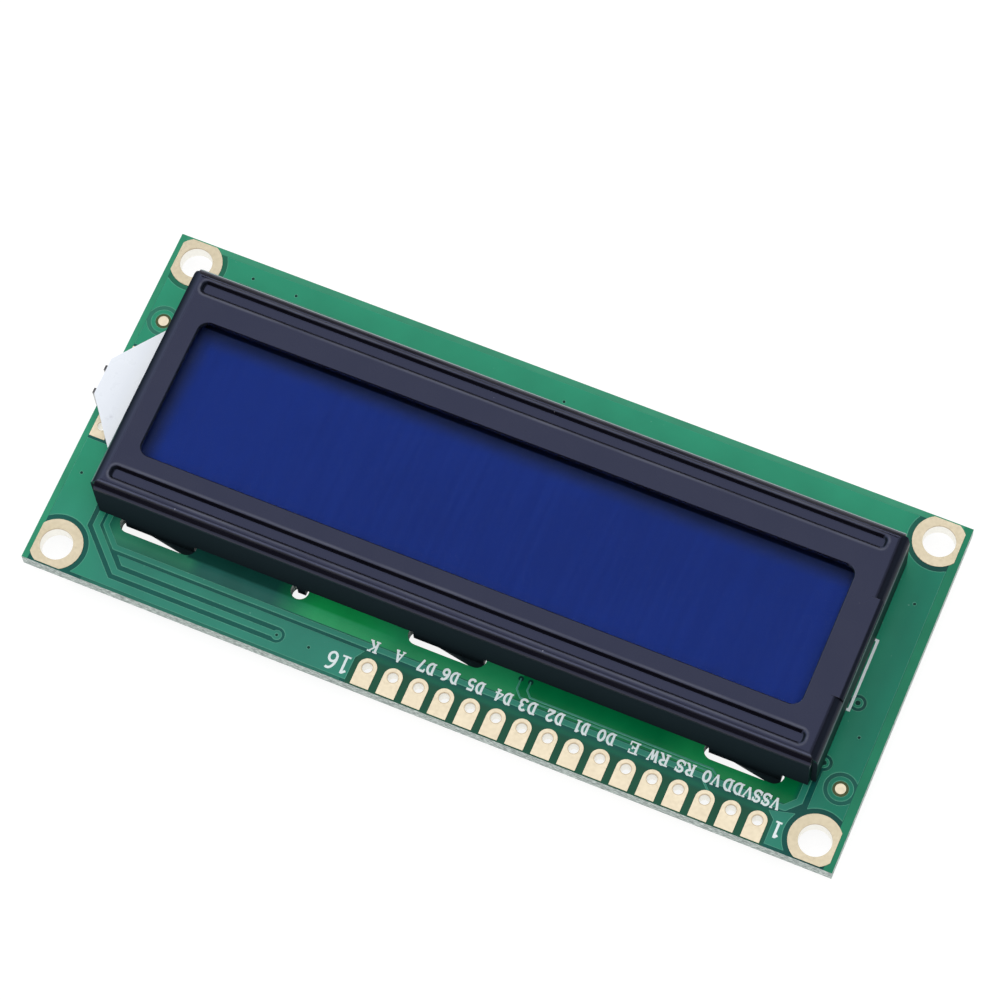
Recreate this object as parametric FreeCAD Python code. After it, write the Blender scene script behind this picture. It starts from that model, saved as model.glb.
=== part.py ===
import FreeCAD, Part
import math
import os

from FreeCAD import Vector

# Character display module, sizes in millimetres.
# X runs along the display as it is read, Y towards the row of header pads and
# Z out of the front. The origin is the centre of the four mounting holes, on the
# front face of the board. Front, back, left and right are named as it is read,
# and the side with the header pads is the near side.

# Circuit board
board_length = 80.0
board_depth = 35.6
board_thickness = 1.6
plating = 0.05             # copper and gold on the faces and in the drilled holes
edge_margin = 0.13         # bare laminate between plating and the board's long edges

# Mounting holes, each with a plated ring that is cut flat beside the edges
mount_hole_radius = 1.55
mount_hole_end_inset = 2.5
mount_hole_side_inset = 2.3
mount_ring_radius = 2.5
mount_ring_end_margin = 0.5

# Header pads along the near edge
pin_count = 16
pin_pitch = 2.54
first_pin_inset = 7.95     # from the left end of the board
pin_side_inset = 2.09
pin_hole_radius = 0.5
pin_pad_width = 1.8

# Test pads, as far from the nearest board edges as they are on the real board
test_pad_radius = 0.5
test_pad_end_inset = 2.17
near_test_pad_inset = 7.65
far_test_pad_inset = 9.0

# Thicknesses of the display stack, from the board's front face outwards
reflector_thickness = 0.1
guide_thickness = 2.0
diffuser_thickness = 0.2
prism_thickness = 0.2
polariser_thickness = 0.2
glass_thickness = 1.1
cell_gap = 0.1             # thicker than the real film of liquid crystal

# Folded sheet metal bezel
sheet = 0.5
bezel_left_margin = 4.45   # from the board's ends and long edges
bezel_right_margin = 4.25
bezel_near_margin = 6.85
bezel_far_margin = 4.7
fold_radius = 0.7          # inside of the folds
flap_fold_radius = 0.05    # tighter fold of the middle flap on the left wall
corner_gap = 0.05          # between neighbouring walls at a corner
far_corner_trim = 0.8
window_left_margin = 3.4   # from the bezel's sides
window_right_margin = 2.98
window_near_margin = 4.6
window_far_margin = 5.1
window_corner = 1.0
bead_left_margin = 1.95
bead_right_margin = 1.55
bead_inset = 1.975         # from the bezel's long side to the middle of the rubber strip inside
bead_shift_y = -0.075      # the pressed beads lie this far from the strips' middles
bead_width = 1.12
bead_corner = 0.4
bead_lip = 0.23            # rounding along the beads' edges
bead_toe = 0.23            # and along their floors
bead_drop = 0.5
bead_wall = 0.3
edge_break = 0.12          # rounding along the window
flap_length = 10.1
flap_shift_y = 0.25
flap_relief = 0.03

# Twisted tabs that hold the bezel, and the board's slots for them
tab_end_inset = 6.6        # middle of an outer tab from the bezel's end
tab_width = 7.0
tab_straight_inset = 0.1   # the twist starts this far inside the board
tab_reach = 0.5            # tips below the board's back
tab_twist = 10.0           # degrees
slot_end_gap = 0.35
slot_outer_gap = 1.05
slot_inner_gap = 0.35

# Earthing prong of the near wall and its round hole
prong_shift = 14.7         # from the middle of the wall
prong_width = 0.8
prong_tip_inset = 0.2      # its tip stays inside the board
prong_hole_shift = 0.45    # the hole's centre lies outside the wall's middle
prong_clearance = 0.05

# Glass, films and lamp frame inside the bezel
glass_clearance = 0.3
zebra_width = 2.0
zebra_clearance = 0.2
zebra_end_inset = 1.0
polariser_inset = 0.6
film_inset = 1.2
seal_width = 0.8
seal_inset = 0.4
frame_wall = 1.0
guide_clearance = 0.1

# Tapered tail of the light guide, with its wrap, lamp and leads
tail_shift_y = 0.325       # from the middle of the bezel
tail_neck_inset = 1.65     # inside the outer sides of the lamp frame
tail_tip_width = 3.8
tail_shoulder_gap = 0.25   # from the bezel to where the taper starts
tail_overhang = 0.1        # past the right end of the board
wrap_thickness = 0.05
wrap_start_inset = 0.65    # inside the outer face of the bezel's right wall
tail_opening_gap = 0.3
lamp_depth = 1.0
lamp_width = 3.4
lamp_gap = 0.1
lead_pitch = 2.5
lead_width = 0.45
lead_thickness = 0.3
lead_edge_gap = 0.35       # between the leads and the board's end
lead_bend = 0.2
lead_pad_length = 1.5
lead_pad_width = 1.4
lead_pad_end_margin = 0.3
lead_solder_margin = 0.25
lead_solder_height = 0.55

# Plated lamp pads beside the tail
lamp_pad_length = 1.55
lamp_pad_width = 2.5
lamp_pad_spacing = 7.3
lamp_pad_shift_y = 0.25    # from the middle of the tail
lamp_pad_end_margin = 0.6
lamp_hole_radius = 0.45

# Chips on the back, under domes of epoxy
blob_spacing = 33.0
blob_radius = 7.6
blob_flat_radius = 3.6
blob_height = 1.4
die_side = 3.2
die_thickness = 0.35

# Chip resistors and capacitors on the back
chip_length = 2.0
chip_width = 1.25
resistor_height = 0.5
capacitor_height = 0.8
chip_cap = 0.35            # soldered length at each end of a chip
chip_solder = 0.3          # solder standing out past each end
resistor_count = 6
resistor_pitch = 2.2
capacitor_count = 3
capacitor_pitch = 5.2
capacitor_wall_gap = 2.45  # middle of the row from the bezel's near side


# Levels and edges worked out from the sizes above
back = -board_thickness
right_end = board_length / 2
near_edge = board_depth / 2
mount_x = right_end - mount_hole_end_inset
mount_y = near_edge - mount_hole_side_inset
first_pin_x = first_pin_inset - right_end
pin_y = near_edge - pin_side_inset

guide_top = reflector_thickness + guide_thickness
diffuser_top = guide_top + diffuser_thickness
prism_top = diffuser_top + prism_thickness
rear_glass_base = prism_top + polariser_thickness
rear_glass_top = rear_glass_base + glass_thickness
front_glass_base = rear_glass_top + cell_gap
front_glass_top = front_glass_base + glass_thickness
sheet_base = front_glass_top + bead_drop
bezel_top = sheet_base + sheet
bend_radius = sheet + fold_radius
flap_bend_radius = sheet + flap_fold_radius
corner_slit = sheet + corner_gap

bezel_left = bezel_left_margin - right_end
bezel_right = right_end - bezel_right_margin
bezel_near = near_edge - bezel_near_margin
bezel_far = bezel_far_margin - near_edge
bezel_length = bezel_right - bezel_left
bezel_depth = bezel_near - bezel_far
bezel_centre_x = (bezel_left + bezel_right) / 2
bezel_centre_y = (bezel_near + bezel_far) / 2

bead_left = bezel_left + bead_left_margin
bead_right = bezel_right - bead_right_margin
window_left = bezel_left + window_left_margin
window_right = bezel_right - window_right_margin
window_near = bezel_near - window_near_margin
window_far = bezel_far + window_far_margin

zebra_offset = bezel_depth / 2 - bead_inset
inner_half_depth = zebra_offset - zebra_width / 2 - zebra_clearance
glass_left = bezel_left + sheet + glass_clearance
glass_right = bezel_right - sheet - glass_clearance

tail_centre_y = bezel_centre_y + tail_shift_y
tail_neck_width = 2 * (inner_half_depth - tail_neck_inset)
tail_shoulder = bezel_right + tail_shoulder_gap
tail_end = right_end + tail_overhang
lamp_face = tail_end - lamp_depth
lamp_top = guide_top - lamp_gap
lead_middle = (reflector_thickness + lamp_top) / 2
lead_pad_x = right_end - lead_pad_end_margin - lead_pad_length / 2

slot_width = slot_outer_gap + sheet + slot_inner_gap
tab_tip = back - tab_reach
tab_spacing = bezel_length / 2 - tab_end_inset
prong_x = bezel_centre_x + prong_shift
prong_hole_y = bezel_near - sheet / 2 + prong_hole_shift
prong_hole_radius = math.hypot(prong_width / 2, sheet / 2 + prong_hole_shift) + prong_clearance


def box(x0, x1, y0, y1, z0, z1):
    return Part.makeBox(x1 - x0, y1 - y0, z1 - z0, Vector(x0, y0, z0))


def centred_box(x, y, length, width, z0, z1):
    return box(x - length / 2, x + length / 2, y - width / 2, y + width / 2, z0, z1)


def cylinder(x, y, radius, z0, z1):
    return Part.makeCylinder(radius, z1 - z0, Vector(x, y, z0))


def prism(points, z0, z1):
    """Solid between two levels over an outline of straight sides."""
    wire = Part.makePolygon([Vector(x, y, z0) for x, y in points + points[:1]])
    return Part.Face(wire).extrude(Vector(0, 0, z1 - z0))


def slot(x, y, length, width, z0, z1):
    """Round-ended slot along X."""
    reach = (length - width) / 2
    middle = centred_box(x, y, 2 * reach, width, z0, z1)
    ends = [cylinder(x + side * reach, y, width / 2, z0, z1) for side in (-1, 1)]
    return middle.fuse(ends).removeSplitter()


def rounded_block(x, y, length, width, corner, z0, z1):
    """Block whose upright edges are rounded."""
    block = centred_box(x, y, length, width, z0, z1)
    upright = [e for e in block.Edges if abs(e.tangentAt(e.FirstParameter).z) > 0.9]
    return block.makeFillet(corner, upright)


def fuse_all(shapes):
    return shapes[0].fuse(shapes[1:]).removeSplitter()


def mounting_centres():
    return [(sx * mount_x, sy * mount_y) for sy in (1, -1) for sx in (-1, 1)]


def pin_centres():
    return [(first_pin_x + n * pin_pitch, pin_y) for n in range(pin_count)]


def lamp_pad_centres():
    x = right_end - lamp_pad_end_margin - lamp_pad_length / 2
    y = tail_centre_y + lamp_pad_shift_y
    return [(x, y + side * lamp_pad_spacing / 2) for side in (1, -1)]


def lead_centres():
    return [tail_centre_y + side * lead_pitch / 2 for side in (-1, 1)]


def wall_rows():
    """The outer face of each long wall, with the way it looks."""
    return [(bezel_near, 1), (bezel_far, -1)]


def circuit_board():
    board = box(-right_end, right_end, -near_edge, near_edge, back, 0)
    cuts = [cylinder(x, y, mount_hole_radius + plating, back, 0) for x, y in mounting_centres()]
    cuts += [cylinder(x, y, pin_hole_radius + plating, back, 0) for x, y in pin_centres()]
    cuts += [cylinder(x, y, lamp_hole_radius + plating, back, 0) for x, y in lamp_pad_centres()]
    cuts.append(cylinder(prong_x, prong_hole_y, prong_hole_radius, back, 0))
    for face, side in wall_rows():
        middle = face + side * (slot_outer_gap - slot_width / 2)
        for n in (-1, 0, 1):
            cuts.append(slot(bezel_centre_x + n * tab_spacing, middle, tab_width + 2 * slot_end_gap,
                             slot_width, back, 0))
    return board.cut(cuts)


def plated_hole(outline, x, y, radius):
    """A pad on each face of the board, joined by the barrel in its hole."""
    top = outline(0, plating)
    bottom = outline(back - plating, back)
    barrel = cylinder(x, y, radius + plating, back, 0)
    bore = cylinder(x, y, radius, back - plating, plating)
    return fuse_all([top, barrel, bottom]).cut(bore)


def mounting_rings():
    limit_x = right_end - mount_ring_end_margin
    limit_y = near_edge - edge_margin
    rings = []
    for x, y in mounting_centres():
        def outline(z0, z1):
            disc = cylinder(x, y, mount_ring_radius, z0, z1)
            return disc.common(box(-limit_x, limit_x, -limit_y, limit_y, z0, z1))
        rings.append(plated_hole(outline, x, y, mount_hole_radius))
    return Part.makeCompound(rings)


def header_pads():
    """Pads that are round on the inside and run out to the near edge."""
    pads = []
    for x, y in pin_centres():
        def outline(z0, z1):
            radius = pin_pad_width / 2
            strip = box(x - radius, x + radius, y, near_edge - edge_margin, z0, z1)
            return fuse_all([strip, cylinder(x, y, radius, z0, z1)])
        pads.append(plated_hole(outline, x, y, pin_hole_radius))
    return Part.makeCompound(pads)


def lamp_pads():
    pads = []
    for x, y in lamp_pad_centres():
        def outline(z0, z1):
            return centred_box(x, y, lamp_pad_length, lamp_pad_width, z0, z1)
        pads.append(plated_hole(outline, x, y, lamp_hole_radius))
    return Part.makeCompound(pads)


def test_pads():
    x = right_end - test_pad_end_inset
    near = cylinder(-x, near_edge - near_test_pad_inset, test_pad_radius, 0, plating)
    far = cylinder(x, far_test_pad_inset - near_edge, test_pad_radius, 0, plating)
    return Part.makeCompound([near, far])


def fold_profile(half, base, top, radius):
    """Section of an upturned tray: straight sides and rounded shoulders."""
    shoulder = top - radius
    turn = radius * math.sqrt(0.5)
    inner = half - radius
    left_arc = Part.Arc(Vector(-half, 0, shoulder),
                        Vector(-inner - turn, 0, shoulder + turn), Vector(-inner, 0, top))
    right_arc = Part.Arc(Vector(inner, 0, top),
                         Vector(inner + turn, 0, shoulder + turn), Vector(half, 0, shoulder))
    edges = [
        Part.LineSegment(Vector(-half, 0, base), Vector(-half, 0, shoulder)).toShape(),
        left_arc.toShape(),
        Part.LineSegment(Vector(-inner, 0, top), Vector(inner, 0, top)).toShape(),
        right_arc.toShape(),
        Part.LineSegment(Vector(half, 0, shoulder), Vector(half, 0, base)).toShape(),
        Part.LineSegment(Vector(half, 0, base), Vector(-half, 0, base)).toShape(),
    ]
    return Part.Face(Part.Wire(edges))


def tray(inset, radius):
    """Block with rounded shoulders on all four sides, inset from the bezel's outside."""
    half_x = bezel_length / 2 - inset
    half_y = bezel_depth / 2 - inset
    top = bezel_top - inset
    along_y = fold_profile(half_x, 0, top, radius)
    along_y.translate(Vector(0, -half_y, 0))
    block = along_y.extrude(Vector(0, 2 * half_y, 0))
    along_x = fold_profile(half_y, 0, top, radius)
    along_x.rotate(Vector(), Vector(0, 0, 1), 90)
    along_x.translate(Vector(-half_x, 0, 0))
    crossing = along_x.extrude(Vector(2 * half_x, 0, 0))
    both = block.common(crossing)
    both.translate(Vector(bezel_centre_x, bezel_centre_y, 0))
    return both


def corner_cuts():
    """Square slits that part the four walls, and the far corners' slanting trim."""
    cuts = []
    for x, inwards in ((bezel_left, 1), (bezel_right, -1)):
        for y in (bezel_near, bezel_far):
            cuts.append(centred_box(x, y, 2 * corner_slit, 2 * corner_slit, 0, bezel_top))
        cuts.append(prism([(x, bezel_far), (x + inwards * far_corner_trim, bezel_far),
                           (x, bezel_far + far_corner_trim)], 0, bezel_top))
    return cuts


def left_flap():
    """Middle of the left wall, folded more tightly than the rest."""
    section = fold_profile(bezel_length / 2, 0, bezel_top, flap_bend_radius)
    inner = fold_profile(bezel_length / 2 - sheet, 0, bezel_top - sheet, flap_bend_radius - sheet)
    strip = section.cut(inner)
    strip.translate(Vector(bezel_centre_x, bezel_centre_y + flap_shift_y - flap_length / 2, 0))
    fold = strip.extrude(Vector(0, flap_length, 0))
    reach = bend_radius + sheet
    y = bezel_centre_y + flap_shift_y
    return fold.common(centred_box(bezel_left + reach / 2, y, reach, flap_length, 0, bezel_top))


def upright_strip(x, y, width, angle, z):
    """Outline of a tab's section at one level, turned about its own middle."""
    corners = [(-1, -1), (1, -1), (1, 1), (-1, 1), (-1, -1)]
    turn = math.radians(angle)
    points = []
    for side_x, side_y in corners:
        along = side_x * width / 2
        across = side_y * sheet / 2
        points.append(Vector(x + along * math.cos(turn) - across * math.sin(turn),
                             y + along * math.sin(turn) + across * math.cos(turn), z))
    return Part.makePolygon(points)


def twisted_tab(x, y):
    twist_start = back + tab_straight_inset
    straight = centred_box(x, y, tab_width, sheet, twist_start, sheet)
    sections = [upright_strip(x, y, tab_width, 0, twist_start),
                upright_strip(x, y, tab_width, -tab_twist, tab_tip)]
    return fuse_all([straight, Part.makeLoft(sections, True, True)])


def prong():
    """Narrow earthing prong, straight down from the near wall into its hole."""
    return centred_box(prong_x, bezel_near - sheet / 2, prong_width, sheet,
                       back + prong_tip_inset, sheet)


def bead_pocket(x, y, length):
    """Hollow of a pressed bead, rounded along its floor."""
    floor = bezel_top - bead_drop
    block = rounded_block(x, y, length, bead_width, bead_corner, floor, bezel_top)
    return break_edges(block, bead_toe, floor, length, bead_width, x, y)


def break_edges(shape, radius, level, length, depth, x, y):
    """Round the edges at one level that lie within a rectangle."""
    def inside(edge):
        b = edge.BoundBox
        flat = abs(b.ZMin - level) < 1e-6 and abs(b.ZMax - level) < 1e-6
        reach_x = max(abs(b.XMin - x), abs(b.XMax - x)) <= length / 2 + 1e-6
        reach_y = max(abs(b.YMin - y), abs(b.YMax - y)) <= depth / 2 + 1e-6
        return flat and reach_x and reach_y
    return shape.makeFillet(radius, [e for e in shape.Edges if inside(e)])


def bezel():
    shell = tray(0, bend_radius).cut(tray(sheet, bend_radius - sheet))
    flap_space = centred_box(bezel_left + bend_radius / 2, bezel_centre_y + flap_shift_y,
                             bend_radius, flap_length + 2 * flap_relief, 0, bezel_top)
    shell = shell.cut(flap_space).fuse(left_flap())

    bead_x = (bead_left + bead_right) / 2
    bead_length = bead_right - bead_left
    bead_rows = [bezel_centre_y + bead_shift_y + side * zebra_offset for side in (-1, 1)]
    ridges = [rounded_block(bead_x, y, bead_length + 2 * bead_wall, bead_width + 2 * bead_wall,
                            bead_corner + bead_wall, sheet_base - bead_drop, sheet_base)
              for y in bead_rows]
    tabs = [twisted_tab(bezel_centre_x + n * tab_spacing, face - side * sheet / 2)
            for face, side in wall_rows() for n in (-1, 0, 1)]
    body = shell.fuse(ridges + tabs + [prong()])

    window_x = (window_left + window_right) / 2
    window_y = (window_near + window_far) / 2
    window_length = window_right - window_left
    window_depth = window_near - window_far
    cuts = corner_cuts()
    cuts += [bead_pocket(bead_x, y, bead_length) for y in bead_rows]
    cuts.append(rounded_block(window_x, window_y, window_length, window_depth,
                              window_corner, sheet_base, bezel_top))
    cuts.append(centred_box(bezel_right, tail_centre_y, 2 * sheet + tail_opening_gap,
                            tail_neck_width + 2 * tail_opening_gap,
                            0, guide_top + wrap_thickness + tail_opening_gap))
    body = body.cut(cuts).removeSplitter()
    body = break_edges(body, edge_break, bezel_top, window_length, window_depth,
                       window_x, window_y)
    for y in bead_rows:
        body = break_edges(body, bead_lip, bezel_top, bead_length, bead_width, bead_x, y)
    return body


def display_plate(inset, half_depth, z0, z1):
    """Flat piece of the display stack, inset from the glass on each side."""
    return box(glass_left + inset, glass_right - inset,
               bezel_centre_y - half_depth + inset, bezel_centre_y + half_depth - inset, z0, z1)


def front_glass():
    half = bezel_depth / 2 - sheet - glass_clearance
    return display_plate(0, half, front_glass_base, front_glass_top)


def front_polariser():
    half = zebra_offset - bead_width / 2 - bead_wall
    return display_plate(polariser_inset, half, front_glass_top,
                         front_glass_top + polariser_thickness)


def rear_glass():
    return display_plate(0, inner_half_depth, rear_glass_base, rear_glass_top)


def rear_polariser():
    return display_plate(film_inset, inner_half_depth, prism_top, rear_glass_base)


def cell_seal():
    outer = display_plate(seal_inset, inner_half_depth, rear_glass_top, front_glass_base)
    inner = display_plate(seal_inset + seal_width, inner_half_depth, rear_glass_top,
                          front_glass_base)
    return outer.cut(inner)


def liquid_crystal():
    return display_plate(seal_inset + seal_width, inner_half_depth, rear_glass_top,
                         front_glass_base)


def zebra_strip(side):
    """Elastomer connector between the board and the ledge of the front glass."""
    y = bezel_centre_y + side * zebra_offset
    return box(glass_left + zebra_end_inset, glass_right - zebra_end_inset,
               y - zebra_width / 2, y + zebra_width / 2, 0, front_glass_base)


def tail_outline(start, margin):
    """Tail of the light guide from a start inside the bezel to its tip."""
    neck = tail_neck_width / 2 + margin
    tip = tail_tip_width / 2 + margin
    return [(start, tail_centre_y - neck), (tail_shoulder, tail_centre_y - neck),
            (tail_end, tail_centre_y - tip), (tail_end, tail_centre_y + tip),
            (tail_shoulder, tail_centre_y + neck), (start, tail_centre_y + neck)]


def light_guide():
    inset = frame_wall + guide_clearance
    plate = display_plate(inset, inner_half_depth, reflector_thickness, guide_top)
    tail = prism(tail_outline(glass_right - 2 * inset, -wrap_thickness),
                 reflector_thickness, guide_top)
    lamp_space = centred_box(tail_end, tail_centre_y, 2 * (lamp_depth + lamp_gap),
                             tail_neck_width, reflector_thickness, guide_top)
    return fuse_all([plate, tail]).cut(lamp_space)


def lamp_frame():
    """White frame around the light guide, open where the tail leaves it."""
    outer = display_plate(0, inner_half_depth, 0, rear_glass_base)
    inner = display_plate(frame_wall, inner_half_depth, 0, rear_glass_base)
    gate = centred_box(glass_right, tail_centre_y, 2 * frame_wall + tail_opening_gap,
                       tail_neck_width + 2 * guide_clearance, 0, rear_glass_base)
    return outer.cut([inner, gate])


def reflector_film():
    return display_plate(film_inset, inner_half_depth, 0, reflector_thickness)


def diffuser_film():
    return display_plate(film_inset, inner_half_depth, guide_top, diffuser_top)


def prism_film():
    return display_plate(film_inset, inner_half_depth, diffuser_top, prism_top)


def tail_wrap():
    """White film folded round the tail, open at both ends."""
    start = bezel_right - wrap_start_inset
    outside = prism(tail_outline(start, 0), reflector_thickness - wrap_thickness,
                    guide_top + wrap_thickness)
    inside = prism(tail_outline(start, -wrap_thickness), reflector_thickness, guide_top)
    return outside.cut(inside)


def backlight_lamp():
    return box(lamp_face, tail_end, tail_centre_y - lamp_width / 2,
               tail_centre_y + lamp_width / 2, reflector_thickness, lamp_top)


def lamp_lead(y):
    """Flat lead out of the lamp, down past the end of the board and in under it."""
    inner = right_end + lead_edge_gap
    outer = inner + lead_thickness
    foot_end = lead_pad_x - lead_pad_length / 2 + lead_solder_margin
    top = lead_middle + lead_thickness / 2
    foot_top = back - plating
    foot_base = foot_top - lead_thickness
    outline = [(tail_end, top), (outer, top), (outer, foot_base), (foot_end, foot_base),
               (foot_end, foot_top), (inner, foot_top), (inner, top - lead_thickness),
               (tail_end, top - lead_thickness)]
    points = [Vector(x, y - lead_width / 2, z) for x, z in outline + outline[:1]]
    lead = Part.Face(Part.makePolygon(points)).extrude(Vector(0, lead_width, 0))
    bends = [e for e in lead.Edges if abs(e.tangentAt(e.FirstParameter).y) > 0.9
             and abs(e.CenterOfMass.x - outer) < 1e-6]
    return lead.makeFillet(lead_bend, bends)


def lead_pads():
    return Part.makeCompound([
        centred_box(lead_pad_x, y, lead_pad_length, lead_pad_width, back - plating, back)
        for y in lead_centres()])


def lead_solder(y):
    """Mound of solder over the foot of one lead."""
    base = Part.makePolygon(mound_corners(lead_pad_length, lead_pad_width, y, 0))
    crown = Part.makePolygon(mound_corners(lead_pad_length, lead_pad_width, y,
                                           lead_solder_height))
    mound = Part.makeLoft([base, crown], True, True)
    return mound.cut(lamp_lead(y))


def mound_corners(length, width, y, rise):
    """Closed outline that shrinks as it rises from the lead pad."""
    inset = lead_solder_margin if rise else 0
    half_x = length / 2 - inset
    half_y = width / 2 - inset
    z = back - plating - rise
    corners = [(-1, -1), (1, -1), (1, 1), (-1, 1), (-1, -1)]
    return [Vector(lead_pad_x + sx * half_x, y + sy * half_y, z) for sx, sy in corners]


def blob_centres():
    return [(side * blob_spacing / 2, bezel_centre_y) for side in (-1, 1)]


def chip_die(x, y):
    return centred_box(x, y, die_side, die_side, back - die_thickness, back)


def epoxy_blob(x, y):
    """Low dome over one chip, flat in the middle where the module rests."""
    reach = blob_radius - blob_flat_radius
    curve = (reach ** 2 + blob_height ** 2) / (2 * blob_height)
    half_turn = math.asin(reach / curve) / 2
    rim = Vector(blob_radius, 0, 0)
    shoulder = Vector(blob_flat_radius + curve * math.sin(half_turn), 0,
                      curve * (1 - math.cos(half_turn)) - blob_height)
    brow = Vector(blob_flat_radius, 0, -blob_height)
    edges = [
        Part.LineSegment(Vector(), rim).toShape(),
        Part.Arc(rim, shoulder, brow).toShape(),
        Part.LineSegment(brow, Vector(0, 0, -blob_height)).toShape(),
        Part.LineSegment(Vector(0, 0, -blob_height), Vector()).toShape(),
    ]
    dome = Part.Face(Part.Wire(edges)).revolve(Vector(), Vector(0, 0, 1), 360)
    dome.translate(Vector(x, y, back))
    return dome.cut(chip_die(x, y))


def resistor_centres():
    middle = (resistor_count - 1) / 2
    return [(0, bezel_centre_y + (n - middle) * resistor_pitch) for n in range(resistor_count)]


def capacitor_centres():
    middle = (capacitor_count - 1) / 2
    row = bezel_near - capacitor_wall_gap
    return [((n - middle) * capacitor_pitch, row) for n in range(capacitor_count)]


def chip_body(x, y, height):
    return centred_box(x, y, chip_length - 2 * chip_cap, chip_width, back - height, back)


def chip_terminals():
    """Soldered ends of the resistors and capacitors, sloping down to the board."""
    chips = [(x, y, resistor_height) for x, y in resistor_centres()]
    chips += [(x, y, capacitor_height) for x, y in capacitor_centres()]
    ends = []
    for x, y, height in chips:
        for side in (-1, 1):
            inner = x + side * (chip_length / 2 - chip_cap)
            crown = x + side * chip_length / 2
            toe = x + side * (chip_length / 2 + chip_solder)
            points = [Vector(inner, y - chip_width / 2, back),
                      Vector(toe, y - chip_width / 2, back),
                      Vector(crown, y - chip_width / 2, back - height),
                      Vector(inner, y - chip_width / 2, back - height),
                      Vector(inner, y - chip_width / 2, back)]
            face = Part.Face(Part.makePolygon(points))
            ends.append(face.extrude(Vector(0, chip_width, 0)))
    return Part.makeCompound(ends)


def build_parts():
    parts = {
        "circuit_board": circuit_board(),
        "mounting_rings": mounting_rings(),
        "header_pads": header_pads(),
        "lamp_pads": lamp_pads(),
        "lead_pads": lead_pads(),
        "test_pads": test_pads(),
        "bezel": bezel(),
        "front_polariser": front_polariser(),
        "front_glass": front_glass(),
        "cell_seal": cell_seal(),
        "liquid_crystal": liquid_crystal(),
        "rear_glass": rear_glass(),
        "rear_polariser": rear_polariser(),
        "prism_film": prism_film(),
        "diffuser_film": diffuser_film(),
        "light_guide": light_guide(),
        "reflector_film": reflector_film(),
        "lamp_frame": lamp_frame(),
        "zebra_strip_near": zebra_strip(1),
        "zebra_strip_far": zebra_strip(-1),
        "tail_wrap": tail_wrap(),
        "backlight_lamp": backlight_lamp(),
        "chip_terminals": chip_terminals(),
    }
    for name, y in zip(("far", "near"), lead_centres()):
        parts["lamp_lead_" + name] = lamp_lead(y)
        parts["lead_solder_" + name] = lead_solder(y)
    for name, (x, y) in zip(("left", "right"), blob_centres()):
        parts["chip_die_" + name] = chip_die(x, y)
        parts["epoxy_blob_" + name] = epoxy_blob(x, y)
    for n, (x, y) in enumerate(resistor_centres(), 1):
        parts["resistor_" + str(n)] = chip_body(x, y, resistor_height)
    for n, (x, y) in enumerate(capacitor_centres(), 1):
        parts["capacitor_" + str(n)] = chip_body(x, y, capacitor_height)
    return parts


os.makedirs("parts", exist_ok=True)
for node, shape in build_parts().items():
    shape.exportStep(os.path.join("parts", node + ".step"))
    size = shape.BoundBox
    print(node, len(shape.Solids), "solids", shape.isValid(), round(shape.Volume, 3),
          [round(v, 3) for v in (size.XMin, size.XMax, size.YMin, size.YMax,
                                 size.ZMin, size.ZMax)])
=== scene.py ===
# Character LCD module in a white studio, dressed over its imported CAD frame
import bpy
import bmesh
import math
from mathutils import Matrix, Vector
from mathutils.geometry import delaunay_2d_cdt


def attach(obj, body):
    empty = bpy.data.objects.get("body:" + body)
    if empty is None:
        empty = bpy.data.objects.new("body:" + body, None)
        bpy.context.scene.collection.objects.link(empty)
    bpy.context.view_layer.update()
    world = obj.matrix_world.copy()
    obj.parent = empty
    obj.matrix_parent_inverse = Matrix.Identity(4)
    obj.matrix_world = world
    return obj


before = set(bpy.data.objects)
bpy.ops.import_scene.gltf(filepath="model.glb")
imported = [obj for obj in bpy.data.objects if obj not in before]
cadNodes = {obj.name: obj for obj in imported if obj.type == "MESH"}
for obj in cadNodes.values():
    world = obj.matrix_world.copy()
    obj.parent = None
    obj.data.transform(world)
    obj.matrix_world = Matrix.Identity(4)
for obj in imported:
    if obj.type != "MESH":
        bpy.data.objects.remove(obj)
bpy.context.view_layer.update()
scene = bpy.context.scene
mm = 0.001
print("frame loaded:", len(cadNodes), "nodes")


# Camera
cameraSetup = {
    "place": (-68.788, 128.817, 361.744),  # mm from the middle of the board's front
    "right": (-0.919497, -0.391584, -0.034454),
    "up": (0.349948, -0.855341, 0.382005),
    "back": (-0.179057, 0.339196, 0.923518),
    "lens": 152.869,
    "sensor": 36.0,
    "clip": (0.01, 20.0),
}


def makeCamera(setup):
    data = bpy.data.cameras.new("studioCamera")
    data.lens = setup["lens"]
    data.sensor_width = setup["sensor"]
    data.clip_start, data.clip_end = setup["clip"]
    camera = bpy.data.objects.new("studioCamera", data)
    scene.collection.objects.link(camera)
    axes = Matrix((setup["right"], setup["up"], setup["back"])).transposed().to_4x4()
    camera.matrix_world = Matrix.Translation(Vector(setup["place"]) * mm) @ axes
    scene.camera = camera


makeCamera(cameraSetup)
scene.view_settings.view_transform = "Standard"
print("camera placed")


# Small helpers for node materials
def newMaterial(name):
    material = bpy.data.materials.new(name)
    material.use_nodes = True
    tree = material.node_tree
    return material, tree, tree.nodes["Principled BSDF"]


def feed(tree, node, inputs):
    # a socket is linked, anything else is the input's own value
    for key, value in inputs.items():
        if isinstance(value, bpy.types.NodeSocket):
            tree.links.new(value, node.inputs[key])
        else:
            node.inputs[key].default_value = value


def addNode(tree, kind, inputs=None, **settings):
    node = tree.nodes.new(kind)
    for key, value in settings.items():
        setattr(node, key, value)
    feed(tree, node, inputs or {})
    return node


def rgba(colour):
    return (*colour, 1.0)


noiseSpan = (0.3, 0.7)  # the part of a noise's range that the finishes use


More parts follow.
